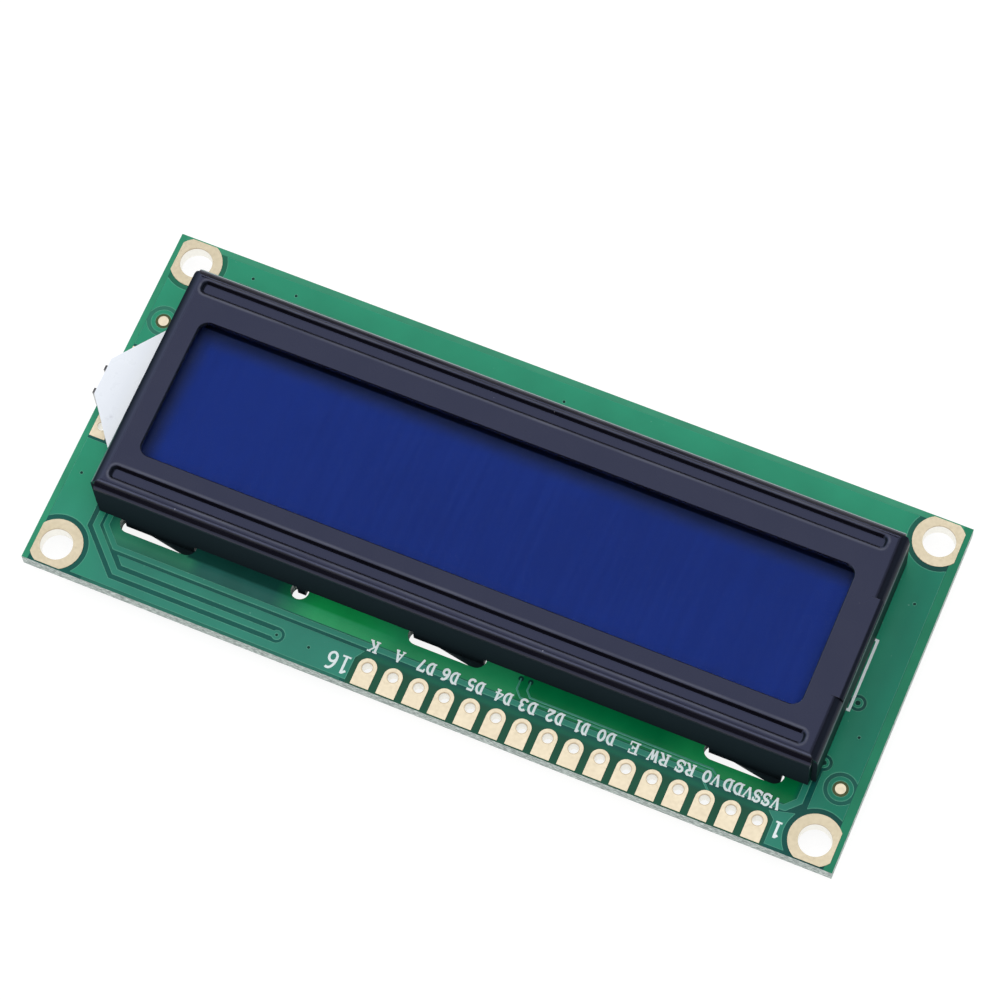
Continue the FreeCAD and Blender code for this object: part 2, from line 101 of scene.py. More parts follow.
def noiseOf(tree, scale, detail=3.0, stretch=(1, 1, 1), shift=(0, 0, 0)):
    # noise in the object's own space, scale in waves per metre
    place = addNode(tree, "ShaderNodeTexCoord").outputs["Object"]
    scales = [scale * s for s in stretch]
    spread = addNode(tree, "ShaderNodeMapping", {"Vector": place, "Location": shift, "Scale": scales})
    inputs = {"Vector": spread.outputs["Vector"], "Scale": 1.0, "Detail": detail}
    return addNode(tree, "ShaderNodeTexNoise", inputs).outputs["Fac"]


def rampOf(tree, value, low, high, lowTo=0.0, highTo=1.0):
    inputs = {"Value": value, "From Min": low, "From Max": high, "To Min": lowTo, "To Max": highTo}
    return addNode(tree, "ShaderNodeMapRange", inputs).outputs["Result"]


def spanOf(tree, value, low, high, lowTo=0.0, highTo=1.0):
    # a ramp between two levels given in millimetres
    return rampOf(tree, value, low * mm, high * mm, lowTo, highTo)


def stepOf(tree, value, level, soft):
    # a soft step from 0 to 1 at a level, in millimetres; a negative softness turns it round
    return spanOf(tree, value, level - soft / 2, level + soft / 2)


def withinOf(tree, value, low, high, soft):
    # 1 between two levels given in millimetres, with soft ends
    return timesOf(tree, stepOf(tree, value, low, soft), stepOf(tree, value, high, -soft))


def mixOf(tree, share, first, second):
    # inputs 0, 6 and 7 of the node are its share and its two colours
    first, second = (c if isinstance(c, bpy.types.NodeSocket) else rgba(c) for c in (first, second))
    return addNode(tree, "ShaderNodeMix", {0: share, 6: first, 7: second}, data_type="RGBA").outputs[2]


def mathOf(tree, operation, first, second=0.0):
    return addNode(tree, "ShaderNodeMath", {0: first, 1: second}, operation=operation).outputs[0]


def timesOf(tree, first, second):
    return mathOf(tree, "MULTIPLY", first, second)


def lengthOf(tree, first, second):
    # how long two offsets at right angles are together
    squares = mathOf(tree, "ADD", timesOf(tree, first, first), timesOf(tree, second, second))
    return mathOf(tree, "SQRT", squares)


def offFrom(tree, value, level):
    # how far from a level given in millimetres, on either side
    return mathOf(tree, "ABSOLUTE", mathOf(tree, "SUBTRACT", value, level * mm))


def ridgeOf(tree, value, peak, width):
    # 1 at the peak, falling to 0 a width away on both sides, in millimetres
    return spanOf(tree, offFrom(tree, value, peak), width, 0.0)


def scaleOf(tree, colour, share):
    inputs = {0: colour, "Scale": share}
    return addNode(tree, "ShaderNodeVectorMath", inputs, operation="SCALE").outputs[0]


def bumpOf(tree, height, strength, distance):
    # distance in millimetres
    inputs = {"Height": height, "Strength": strength, "Distance": distance * mm}
    return addNode(tree, "ShaderNodeBump", inputs).outputs["Normal"]


def axisOf(tree):
    # the place on the object as X, Y and Z
    place = addNode(tree, "ShaderNodeTexCoord").outputs["Object"]
    return addNode(tree, "ShaderNodeSeparateXYZ", {"Vector": place}).outputs


def facingOf(tree):
    # which way the surface faces, as X, Y and Z
    normal = addNode(tree, "ShaderNodeNewGeometry").outputs["Normal"]
    return addNode(tree, "ShaderNodeSeparateXYZ", {"Vector": normal}).outputs


def roughen(tree, shader, grain, rough, less=0.85, more=1.15):
    # roughness that a noise varies from less to more times its level
    spread = rampOf(tree, grain, *noiseSpan, rough * less, rough * more)
    feed(tree, shader, {"Roughness": spread})


def plainFinish(name, v):
    # colour that varies a little, a fine grain in the roughness and a shallow bump
    material, tree, shader = newMaterial(name)
    drift = noiseOf(tree, v.get("driftScale", 150), 4)
    grain = noiseOf(tree, v.get("grainScale", 2500))
    tint = mixOf(tree, rampOf(tree, drift, *noiseSpan), v["colour"], v["second"])
    roughen(tree, shader, grain, v["roughness"])
    normal = bumpOf(tree, grain, v.get("bump", 0.2), v.get("bumpDepth", 0.01))
    feed(tree, shader, {"Base Color": tint, "Metallic": v.get("metallic", 0.0), "Normal": normal,
                        "Specular IOR Level": v.get("gloss", 0.5)})
    return material


def dress(material, *names):
    for name in names:
        slots = cadNodes[name].data.materials
        slots.clear()
        slots.append(material)


def dressPlain(parts):
    # one plain finish for each entry, on the pieces it names
    for name, v in parts.items():
        dress(plainFinish(name, v), *v["on"])


# Studio: pale floor, white surroundings, one soft lamp, two light strips and a dark flag
studio = {
    "floorHeight": -3.05,
    "floorRadius": 1500.0,
    "floorSides": 96,
    "floorRoughness": 0.9,
    "floorColour": (0.86, 0.86, 0.86),
    "floorGlow": 0.90,
    "floorShade": 0.17,
    "skyLow": 0.42,  # level of the sky at the horizon and overhead
    "skyHigh": 0.95,
    "lampEnergy": 2.8,
    "lampSize": 1100.0,
    "lampPlace": (170.0, -320.0, 870.0),
    "stripGlow": 3.2,
    "stripReach": 400.0,  # the two light strips lie along the display, overhead
    "stripLength": 900.0,
    "stripAngles": ((22.0, 33.0), (-58.0, -51.0)),
    "flagRadius": 480.0,
    "flagHeight": 560.0,
    "flagLift": 0.5,  # above the floor
    "flagSides": 72,
    "flagColour": (0.006, 0.006, 0.010),
}


def raySwitch(tree):
    # 1 for camera, glossy and transmission rays
    rays = addNode(tree, "ShaderNodeLightPath").outputs
    seen = mathOf(tree, "MAXIMUM", rays["Is Camera Ray"], rays["Is Glossy Ray"])
    return mathOf(tree, "MAXIMUM", seen, rays["Is Transmission Ray"])


def makeFloor(v):
    sheet = bmesh.new()
    bmesh.ops.create_circle(sheet, cap_ends=True, segments=v["floorSides"],
                             radius=v["floorRadius"] * mm)
    mesh = bpy.data.meshes.new("studioFloor")
    sheet.to_mesh(mesh)
    sheet.free()
    floor = bpy.data.objects.new("studioFloor", mesh)
    floor.location.z = v["floorHeight"] * mm
    scene.collection.objects.link(floor)
    material, tree, shader = newMaterial("paleFloor")
    feed(tree, shader, {"Base Color": rgba(v["floorColour"]), "Roughness": v["floorRoughness"],
                        "Specular IOR Level": 0.0})
    glow = addNode(tree, "ShaderNodeEmission", {"Strength": v["floorGlow"]})
    dim = addNode(tree, "ShaderNodeBsdfDiffuse", {"Color": rgba((v["floorShade"],) * 3)})
    both = addNode(tree, "ShaderNodeAddShader", {0: glow.outputs[0], 1: dim.outputs[0]})
    choice = {"Fac": raySwitch(tree), 1: shader.outputs[0], 2: both.outputs[0]}
    choose = addNode(tree, "ShaderNodeMixShader", choice)
    feed(tree, tree.nodes["Material Output"], {"Surface": choose.outputs[0]})
    mesh.materials.append(material)


def makeSurroundings(v):
    world = bpy.data.worlds.new("whiteSurroundings")
    world.use_nodes = True
    tree = world.node_tree
    aim = addNode(tree, "ShaderNodeTexCoord").outputs["Generated"]
    upward = addNode(tree, "ShaderNodeSeparateXYZ", {"Vector": aim}).outputs["Z"]
    level = rampOf(tree, upward, 0.0, 1.0, v["skyLow"], v["skyHigh"])
    seen = raySwitch(tree)
    unseen = timesOf(tree, mathOf(tree, "SUBTRACT", 1.0, seen), level)
    strength = mathOf(tree, "ADD", seen, unseen)
    feed(tree, tree.nodes["Background"], {"Color": rgba((1.0, 1.0, 1.0)), "Strength": strength})
    scene.world = world
    data = bpy.data.lights.new("softLamp", "AREA")
    data.shape = "DISK"
    data.size = v["lampSize"] * mm
    data.energy = v["lampEnergy"]
    lamp = bpy.data.objects.new("softLamp", data)
    lamp.location = Vector(v["lampPlace"]) * mm
    lamp.rotation_euler = (-lamp.location).to_track_quat("-Z", "Y").to_euler()
    scene.collection.objects.link(lamp)


def showInGloss(piece):
    # only what shines shows the piece
    piece.visible_camera = False
    piece.visible_diffuse = False
    piece.visible_shadow = False
    piece.visible_transmission = False


def makeFlag(v):
    # a dark band low round the set, which black gloss shows as its dark lines
    band = bmesh.new()
    sides = v["flagSides"]
    reach = v["flagRadius"] * mm
    rows = []
    for level in (v["floorHeight"] + v["flagLift"], v["flagHeight"]):
        row = []
        for step in range(sides):
            angle = 2 * math.pi * step / sides
            row.append(band.verts.new((reach * math.cos(angle), reach * math.sin(angle), level * mm)))
        rows.append(row)
    for step in range(sides):
        after = (step + 1) % sides
        band.faces.new((rows[0][step], rows[0][after], rows[1][after], rows[1][step]))
    mesh = bpy.data.meshes.new("studioFlag")
    band.to_mesh(mesh)
    band.free()
    flag = bpy.data.objects.new("studioFlag", mesh)
    scene.collection.objects.link(flag)
    material, tree, shader = newMaterial("flagCloth")
    feed(tree, shader, {"Base Color": rgba(v["flagColour"]), "Roughness": 1.0,
                        "Specular IOR Level": 0.0})
    mesh.materials.append(material)
    showInGloss(flag)


def makeStrips(v):
    # long lights that only gloss shows, as bright lines along the folds
    material = bpy.data.materials.new("stripLight")
    material.use_nodes = True
    tree = material.node_tree
    glow = addNode(tree, "ShaderNodeEmission", {"Strength": v["stripGlow"]})
    feed(tree, tree.nodes["Material Output"], {"Surface": glow.outputs[0]})
    half = v["stripLength"] * mm / 2
    for number, angles in enumerate(v["stripAngles"]):
        corners = []
        for angle, ends in ((angles[0], (-half, half)), (angles[1], (half, -half))):
            y = v["stripReach"] * mm * math.sin(math.radians(angle))
            z = v["stripReach"] * mm * math.cos(math.radians(angle))
            corners += [(x, y, z) for x in ends]
        mesh = bpy.data.meshes.new("studioStrip")
        mesh.from_pydata(corners, [], [(0, 1, 2, 3)])
        mesh.materials.append(material)
        strip = bpy.data.objects.new("studioStrip_%d" % (number + 1), mesh)
        scene.collection.objects.link(strip)
        showInGloss(strip)


makeFloor(studio)
makeSurroundings(studio)
makeFlag(studio)
makeStrips(studio)
print("studio set")


# Circuit board: green mask on both faces, grey glass fibre where it was cut
testPads = ((-37.83, 10.15), (37.83, -8.8))
flatFrom = 0.5  # a surface lies flat where its Z direction passes this
leftStep = (-35.6, 4.0)  # left of this the board's colours are darker: painted shade, as it lies in less light
board = {  # a step is its level and softness, a range is from, to and softness
    "bareLow": (0.003, 0.066, 0.056),  # mask without copper: painted shade in the strip at the left, and elsewhere
    "bareGreen": (0.004, 0.096, 0.078),
    "backGreen": (0.010, 0.175, 0.110),
    "glowGreen": (0.0, 0.172, 0.052),  # painted light: lighter green beside the near wall, as if light from below shone through
    "glowLeft": (0.008, 0.250, 0.074),
    "glowBright": (0.014, 0.262, 0.098),
    "glowWhite": (0.030, 0.390, 0.145),
    "glowDeep": (0.007, 0.315, 0.080),  # the same as the last, darker close to the wall: painted shade
    "glowStart": (-34.4, 0.6),
    "glowEnd": (14.7, -4.4),
    "glowAcross": (9.2, 13.36, 0.12),
    "leftGlow": (-30.5, -22.5, 3.0),
    "brightStep": (-7.4, 0.2),
    "whiteStep": (6.5, 4.0),
    "deepStep": (12.08, -0.24),
    "patches": (  # x from and to, y from and to, softness, colour of the bare mask
        (-34.6, 44.0, -24.0, -9.0, 4.0, (0.013, 0.155, 0.092)),
        (-40.5, 40.5, -18.5, -17.22, 0.06, (0.045, 0.300, 0.175)),
        (8.0, 34.0, 17.5, 18.5, 0.06, (0.018, 0.150, 0.108)),
        (-33.0, 7.5, 14.36, 14.9, 0.4, (0.007, 0.128, 0.076)),
        (-33.2, 7.5, 14.9, 18.5, 0.4, (0.010, 0.088, 0.050)),
        # the next three: painted light on the bare mask beside the near wall, and painted shade close to the
        # wall
        (24.5, 33.6, 10.5, 13.5, 1.5, (0.030, 0.225, 0.130)),
        (15.2, 24.5, 10.5, 13.5, 1.5, (0.020, 0.136, 0.114)),
        (11.0, 25.8, 8.5, 12.08, 0.24, (0.006, 0.060, 0.048)),
        (-40.5, -36.0, 8.3, 12.2, 0.4, (0.008, 0.110, 0.084)),
        (36.0, 40.5, -11.0, -6.9, 0.4, (0.030, 0.190, 0.130)),
    ),
    "stripLow": (0.014, 0.208, 0.112),  # beyond the copper at the left and right ends
    "stripHigh": (0.028, 0.290, 0.160),
    "stripFrom": (-39.14, 39.42),
    "brown": (0.080, 0.105, 0.040),  # laminate bare of mask round the test pads
    "brownStep": (0.84, -0.12),
    "driftScale": 260,
    "drift": (0.9, 1.1),
    "edge": (0.78, 0.86, 0.82),
    "edgeDark": (0.36, 0.42, 0.40),
    "edgeRoughness": 0.85,
    "fibreScale": 2200,
    "fibreStretch": (1.0, 1.0, 3.0),
    "fibreSpan": (0.42, 0.6),
    "rippleScale": 500,
    "ripple": 0.12,
    "bump": 0.5,
    "bumpDepth": 0.08,
    "roughness": 0.2,
    "gloss": 0.10,
}


def awayFrom(tree, x, y, spot):
    # distance from a spot on the board
    return lengthOf(tree, *[mathOf(tree, "SUBTRACT", c, s * mm) for c, s in zip((x, y), spot)])


def leftStripShade(tree, x, low, high):
    # painted shade: the low colour left of leftStep, the high one elsewhere
    return mixOf(tree, stepOf(tree, x, *leftStep), low, high)


def makeBoardFinish(v):
    material, tree, shader = newMaterial("greenBoard")
    x, y = axisOf(tree)[:2]
    # painted light beside the near wall, as if light from below shone through, and painted shade close to
    # the wall
    along = timesOf(tree, stepOf(tree, x, *v["glowStart"]), stepOf(tree, x, *v["glowEnd"]))
    glow = timesOf(tree, along, withinOf(tree, y, *v["glowAcross"]))
    dimmer = mixOf(tree, withinOf(tree, x, *v["leftGlow"]), v["glowGreen"], v["glowLeft"])
    lightest = mixOf(tree, stepOf(tree, y, *v["deepStep"]), v["glowWhite"], v["glowDeep"])
    lighter = mixOf(tree, stepOf(tree, x, *v["whiteStep"]), v["glowBright"], lightest)
    shine = mixOf(tree, stepOf(tree, x, *v["brightStep"]), dimmer, lighter)
    bare = leftStripShade(tree, x, v["bareLow"], v["bareGreen"])
    for fromX, toX, fromY, toY, soft, colour in v["patches"]:
        share = timesOf(tree, withinOf(tree, x, fromX, toX, soft), withinOf(tree, y, fromY, toY, soft))
        bare = mixOf(tree, share, bare, colour)
    face = mixOf(tree, glow, bare, shine)
    outer = mathOf(tree, "ADD", mathOf(tree, "LESS_THAN", x, v["stripFrom"][0] * mm),
                   mathOf(tree, "GREATER_THAN", x, v["stripFrom"][1] * mm))
    face = mixOf(tree, outer, face, leftStripShade(tree, x, v["stripLow"], v["stripHigh"]))
    for spot in testPads:
        face = mixOf(tree, stepOf(tree, awayFrom(tree, x, y, spot), *v["brownStep"]), face, v["brown"])
    upward = facingOf(tree)["Z"]
    isFlat = mathOf(tree, "GREATER_THAN", mathOf(tree, "ABSOLUTE", upward), flatFrom)
    face = mixOf(tree, mathOf(tree, "GREATER_THAN", upward, flatFrom), v["backGreen"], face)
    drift = rampOf(tree, noiseOf(tree, v["driftScale"]), *noiseSpan, *v["drift"])
    fibre = noiseOf(tree, v["fibreScale"], 6, v["fibreStretch"])
    cut = mixOf(tree, rampOf(tree, fibre, *v["fibreSpan"]), v["edgeDark"], v["edge"])
    tint = mixOf(tree, isFlat, cut, scaleOf(tree, face, drift))
    rough = rampOf(tree, isFlat, 0.0, 1.0, v["edgeRoughness"], v["roughness"])
    height = timesOf(tree, fibre, mathOf(tree, "SUBTRACT", 1.0, isFlat))
    ripple = timesOf(tree, noiseOf(tree, v["rippleScale"]), v["ripple"])
    normal = bumpOf(tree, mathOf(tree, "ADD", height, ripple), v["bump"], v["bumpDepth"])
    feed(tree, shader, {"Base Color": tint, "Roughness": rough, "Specular IOR Level": v["gloss"],
                        "Normal": normal})
    return material


dress(makeBoardFinish(board), "circuit_board")


# Green mask over copper, and its thin pale line along every edge of the copper
maskFinish = {
    "greenLow": (0.009, 0.192, 0.120),  # painted shade in the strip at the left, and elsewhere
    "greenHigh": (0.022, 0.300, 0.170),
    "greenNear": (0.029, 0.232, 0.166),  # towards the row of header pads, and less so in the corner
    "nearSpan": (9.0, 12.0),
    "cornerSpan": (36.0, 31.0),
    "cornerShare": 0.45,
    "driftScale": 190,
    "drift": (0.93, 1.07),
    "edgeGreen": (0.17, 0.50, 0.36),
    "pale": 0.42,  # how far the copper's edges go towards that colour
    "speck": (0.30, 0.60, 0.48),
    "speckScale": 1900,
    "speckShift": (3, 1, 0),
    "speckSpan": (0.74, 0.80),
    "speckShare": 0.35,
    "waveScale": 420,
    "bump": 0.25,
    "bumpDepth": 0.02,
    "roughness": 0.22,
    "gloss": 0.11,
}


def makeMaskFinish(name, v, pale):
    material, tree, shader = newMaterial(name)
    x, y = axisOf(tree)[:2]
    corner = spanOf(tree, x, *v["cornerSpan"], v["cornerShare"], 1.0)
    nearRow = timesOf(tree, spanOf(tree, y, *v["nearSpan"]), corner)
    most = mixOf(tree, nearRow, v["greenHigh"], v["greenNear"])
    tint = mixOf(tree, pale, leftStripShade(tree, x, v["greenLow"], most), v["edgeGreen"])
    drift = rampOf(tree, noiseOf(tree, v["driftScale"], 4), *noiseSpan, *v["drift"])
    speck = rampOf(tree, noiseOf(tree, v["speckScale"], 2, shift=v["speckShift"]), *v["speckSpan"])
    tint = mixOf(tree, timesOf(tree, speck, v["speckShare"]), scaleOf(tree, tint, drift), v["speck"])
    wave = noiseOf(tree, v["waveScale"])
    roughen(tree, shader, wave, v["roughness"], 0.85, 1.2)
    normal = bumpOf(tree, wave, v["bump"], v["bumpDepth"])
    feed(tree, shader, {"Base Color": tint, "Specular IOR Level": v["gloss"], "Normal": normal})
    return material


maskOnCopper = makeMaskFinish("maskOnCopper", maskFinish, 0.0)
maskThin = makeMaskFinish("maskThin", maskFinish, maskFinish["pale"])


# Flat outlines in millimetres
def arcPoints(centre, radius, start, end, count):
    # radius is one number, or two for an ellipse; angles in degrees
    rx, ry = radius if isinstance(radius, tuple) else (radius, radius)
    points = []
    for step in range(count + 1):
        angle = math.radians(start + (end - start) * step / count)
        points.append((centre[0] + rx * math.cos(angle), centre[1] + ry * math.sin(angle)))
    return points


def disc(centre, radius, count=40):
    return arcPoints(centre, radius, 0, 360 * (count - 1) / count, count - 1)


def rectangle(x0, x1, y0, y1):
    return [(x0, y0), (x1, y0), (x1, y1), (x0, y1)]


mitreLeast = 0.35  # keeps the mitre of a sharp turn short
capSteps = 12


def strokeOutline(points, width, roundEnds=False):
    # a band of that width along the points, with mitred corners
    path = [Vector(p) for p in points]
    count = len(path)
    left, right = [], []
    for i in range(count):
        before = (path[max(i, 1)] - path[max(i, 1) - 1]).normalized()
        after = (path[min(i + 1, count - 1)] - path[min(i, count - 2)]).normalized()
        along = (before + after).normalized()
        side = Vector((-along.y, along.x))
        reach = width / 2 / max(mitreLeast, side.dot(Vector((-before.y, before.x))))
        left.append(tuple(path[i] + side * reach))
        right.append(tuple(path[i] - side * reach))
    if not roundEnds:
        return right + left[::-1]
    turnOut = math.degrees(math.atan2(*(path[-1] - path[-2]).yx))
    turnIn = math.degrees(math.atan2(*(path[0] - path[1]).yx))
    capOut = arcPoints(points[-1], width / 2, turnOut - 90, turnOut + 90, capSteps)
    capIn = arcPoints(points[0], width / 2, turnIn - 90, turnIn + 90, capSteps)
    return right[1:-1] + capOut + left[1:-1][::-1] + capIn


def signedArea(points):
    return sum(a[0] * b[1] - b[0] * a[1] for a, b in zip(points, points[1:] + points[:1])) / 2


insideOnly = 1  # the triangulation keeps what lies inside an outline
mergeWithin = 1e-6  # points and lines shorter than this fall together
leastRun = 1e-9
flatAngle = 0.001
rimSteps = ((0.0, 1.0), (0.45, 0.86), (0.8, 0.45), (1.0, 0.0))  # shares of the rim's reach and height


def layMesh(name, shapes, base, height, rim, materials):
    # shapes are laid one over the other: True adds material, False clears it
    coords, faces, kinds = [], [], []
    for outline, adds in shapes:
        points = outline if signedArea(outline) > 0 else outline[::-1]
        faces.append(list(range(len(coords), len(coords) + len(points))))
        coords += [Vector(p) for p in points]
        kinds.append(adds)
    found = delaunay_2d_cdt(coords, [], faces, insideOnly, mergeWithin, True)
    flat, cells, origins = found[0], found[2], found[5]
    kept = [cell for cell, ids in zip(cells, origins) if ids and kinds[max(ids)]]
    used = {}
    for cell in kept:
        for i in range(len(cell)):
            edge = (cell[i], cell[(i + 1) % len(cell)])
            used[edge] = used.get(edge, 0) + 1
    border = [edge for edge in used if (edge[1], edge[0]) not in used]
    outward = {}
    for start, end in border:
        run = flat[end] - flat[start]
        if run.length < leastRun:
            continue
        side = Vector((run.y, -run.x)).normalized()
        for index in (start, end):
            outward[index] = outward.get(index, Vector((0, 0))) + side
    mesh = bpy.data.meshes.new(name)
    work = bmesh.new()
    rings = {}

    def cornerAt(index, level):
        key = (index, level)
        if key not in rings:
            share, lift = rimSteps[level]
            move = outward.get(index, Vector((0, 0)))
            move = move.normalized() * rim * share if move.length > 0 else Vector((0, 0))
            spot = flat[index] + move
            rings[key] = work.verts.new((spot.x * mm, spot.y * mm, (base + height * lift) * mm))
        return rings[key]

    for cell in kept:
        work.faces.new([cornerAt(i, 0) for i in cell])
    for start, end in border:
        for level in range(len(rimSteps) - 1):
            upper = (cornerAt(end, level), cornerAt(start, level))
            lower = (cornerAt(start, level + 1), cornerAt(end, level + 1))
            face = work.faces.new(upper + lower)
            face.smooth = True
            face.material_index = min(1, len(materials) - 1)
    inner = [e for e in work.edges if len(e.link_faces) == 2 and not any(f.smooth for f in e.link_faces)]
    bmesh.ops.dissolve_limit(work, angle_limit=flatAngle, verts=[], edges=inner)
    work.to_mesh(mesh)
    work.free()
    for material in materials:
        mesh.materials.append(material)
    piece = bpy.data.objects.new(name, mesh)
    scene.collection.objects.link(piece)
    return piece


# Copper under the mask, with its gaps
copper = {
    "height": 0.040,
    "rim": 0.075,
    "sheet": (-39.08, 39.36, -17.16, 17.45),
    "holes": (37.5, 15.5),
    "holeClearance": 3.05,
    "zone": ((-35.78, 9.0), (-35.78, 13.6), (-34.9, 13.9), (-32.7, 14.45), (-33.4, 15.1), (-33.4, 17.9),
             (7.55, 17.9), (7.55, 15.2), (6.95, 14.34), (31.85, 14.34), (34.6, 11.6), (34.6, 9.0)),
    "lone": ((15.0, 15.93), (31.35, 15.93), (34.9, 12.38), (34.9, 9.0)),
    "loneWidth": 0.50,
    "loneClearance": 1.64,
    "loneEnd": 0.42,
    "long": ((-34.88, 9.0), (-34.88, 12.62), (-33.82, 13.72), (32.35, 13.72), (34.05, 12.0), (34.05, 9.0)),
    "longWidth": 0.42,
    "longStartWidth": 0.52,
    "fineTracks": ((13.06, -7.9, 1), (12.75, -8.75, 0)),  # level, bend, and which bare via it ends in
    "fineWidth": 0.05,
    "fineStart": (-26.9, -26.55),
    "fineRise": 0.35,
    "fineSlant": 0.3,
    "fineSlope": 1.1,
    "join": ((-26.9, 14.8), (-26.1, 14.0)),
    "joinWidth": 0.1,
    "lampGap": (37.4, 39.9, -5.72, 4.72),
    "farGap": ((21.6, -15.1), (32.9, -15.1)),
    "farGapWidth": 0.16,
    "testRings": ((1.62, False), (1.13, True), (0.82, False)),
    "viaRings": ((0.85, False), (0.44, True), (0.30, False)),
    "viaHole": 0.20,
    "openVias": ((15.0, 15.93), (11.8, 15.93), (-37.6, 5.0), (-37.6, -8.9), (38.4, 8.15),
                 (27.3, -15.9), (31.8, -16.0), (-0.3, -15.4)),
    "ringedVias": ((-36.3, 1.95), (-35.55, 8.4)),
    "bareVias": ((-8.25, 11.35), (-7.3, 11.35)),
}
cuts = {  # where the board is cut through beside the bezel
    "slotX": (-28.95, 0.1, 29.15),
    "slotY": (11.05, -13.2),
    "slotLong": 7.7,
    "slotWide": 1.9,
    "prong": (14.8, 11.15),
    "prongRadius": 0.856,
    "gap": 0.12,  # copper keeps this far away
}


def fineTrack(v, level, bend, via):
    startX = v["fineStart"][0] - v["fineSlant"] * (v["fineTracks"][0][0] - level)
    return [(startX, level + v["fineRise"]), (v["fineStart"][1], level), (bend, level),
            (via[0], level - abs(via[0] - bend) * v["fineSlope"]), via]


def copperShapes(v):
    shapes = [(rectangle(*v["sheet"]), True), (list(v["zone"]), False)]
    for sx in (-1, 1):
        for sy in (-1, 1):
            shapes.append((disc((sx * v["holes"][0], sy * v["holes"][1]), v["holeClearance"], 64), False))
    shapes += [(strokeOutline(v["lone"], v["loneClearance"], True), False),
               (strokeOutline(v["lone"], v["loneWidth"], True), True),
               (disc(v["lone"][0], v["loneEnd"]), True),
               (strokeOutline(v["long"], v["longWidth"]), True),
               (strokeOutline(v["long"][:3], v["longStartWidth"]), True)]
    for level, bend, number in v["fineTracks"]:
        line = fineTrack(v, level, bend, v["bareVias"][number])
        shapes.append((strokeOutline(line, v["fineWidth"]), True))
    shapes.append((strokeOutline(v["join"], v["joinWidth"]), True))
    shapes.append((rectangle(*v["lampGap"]), False))
    for spots, rings in ((testPads, v["testRings"]), (v["ringedVias"], v["viaRings"])):
        for spot in spots:
            shapes += [(disc(spot, radius), adds) for radius, adds in rings]
    for spot in v["openVias"] + v["ringedVias"]:
        shapes.append((disc(spot, v["viaHole"], 20), False))
    shapes.append((strokeOutline(v["farGap"], v["farGapWidth"]), False))
    return shapes


def boardHoles(v):
    half = v["slotWide"] / 2 + v["gap"]
    run = v["slotLong"] / 2 - v["slotWide"] / 2
    holes = []
    for x in v["slotX"]:
        for y in v["slotY"]:
            right = arcPoints((x + run, y), half, -90, 90, capSteps)
            holes.append(right + arcPoints((x - run, y), half, 90, 270, capSteps))
    holes.append(disc(v["prong"], v["prongRadius"] + v["gap"], 32))
    return holes


relief = copperShapes(copper) + [(hole, False) for hole in boardHoles(cuts)]
copperPiece = layMesh("copper_under_mask", relief, 0.0, copper["height"], copper["rim"],
                      [maskOnCopper, maskThin])
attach(copperPiece, "root")
print("copper relief laid")


# Vias: small filled holes that show as dark dots
viaFinish = {
    "colour": (0.003, 0.046, 0.037),
    "second": (0.002, 0.032, 0.026),
    "roughness": 0.3,
    "gloss": 0.08,
    "reach": 0.24,
    "height": 0.012,
    "rim": 0.02,
}


def makeVias(v, spots):
    shapes = [(disc(spot, v["reach"], 20), True) for spot in spots]
    piece = layMesh("filled_vias", shapes, 0.0, v["height"], v["rim"], [plainFinish("filledVia", v)])
    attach(piece, "root")


makeVias(viaFinish, copper["openVias"] + copper["ringedVias"] + copper["bareVias"])
print("vias filled")


# White print: the pin names, the two pin numbers and the bracket beside the bezel
ink = {
    "colour": (0.86, 0.95, 0.96),
    "second": (0.72, 0.83, 0.85),
    "roughness": 0.55,
    "base": 0.035,
    "height": 0.020,
    "rim": 0.012,
    "strokes": (0.21, 0.125),  # widths of the heavy and the light strokes
    "numberStrokes": (0.22, 0.16),
    "letterShare": 0.95,  # of its pitch, the rest is space
    "nameFoot": 13.03,
    "nameHeight": 1.16,
    "names": (("VSS", -33.4, -30.77), ("VDD", -30.8, -27.9), ("V0", -27.7, -25.9), ("RS", -25.2, -23.3),
              ("RW", -22.7, -20.66), ("E", -19.8, -18.8), ("D0", -17.43, -15.7), ("D1", -14.86, -13.46),
              ("D2", -12.4, -10.7), ("D3", -9.75, -8.0), ("D4", -7.34, -5.64), ("D5", -4.6, -2.93),
              ("D6", -2.1, -0.4), ("D7", 0.23, 1.95), ("A", 3.3, 4.25), ("K", 5.8, 6.8)),
    "numbers": (("1", -34.42, -33.52, 15.1, 1.6), ("16", 7.5, 9.95, 15.36, 1.78)),
    "bracket": ((-35.1, 2.9), (-35.8, 2.9), (-35.8, -4.3), (-35.1, -4.3)),
    "bracketWidth": 0.24,
}


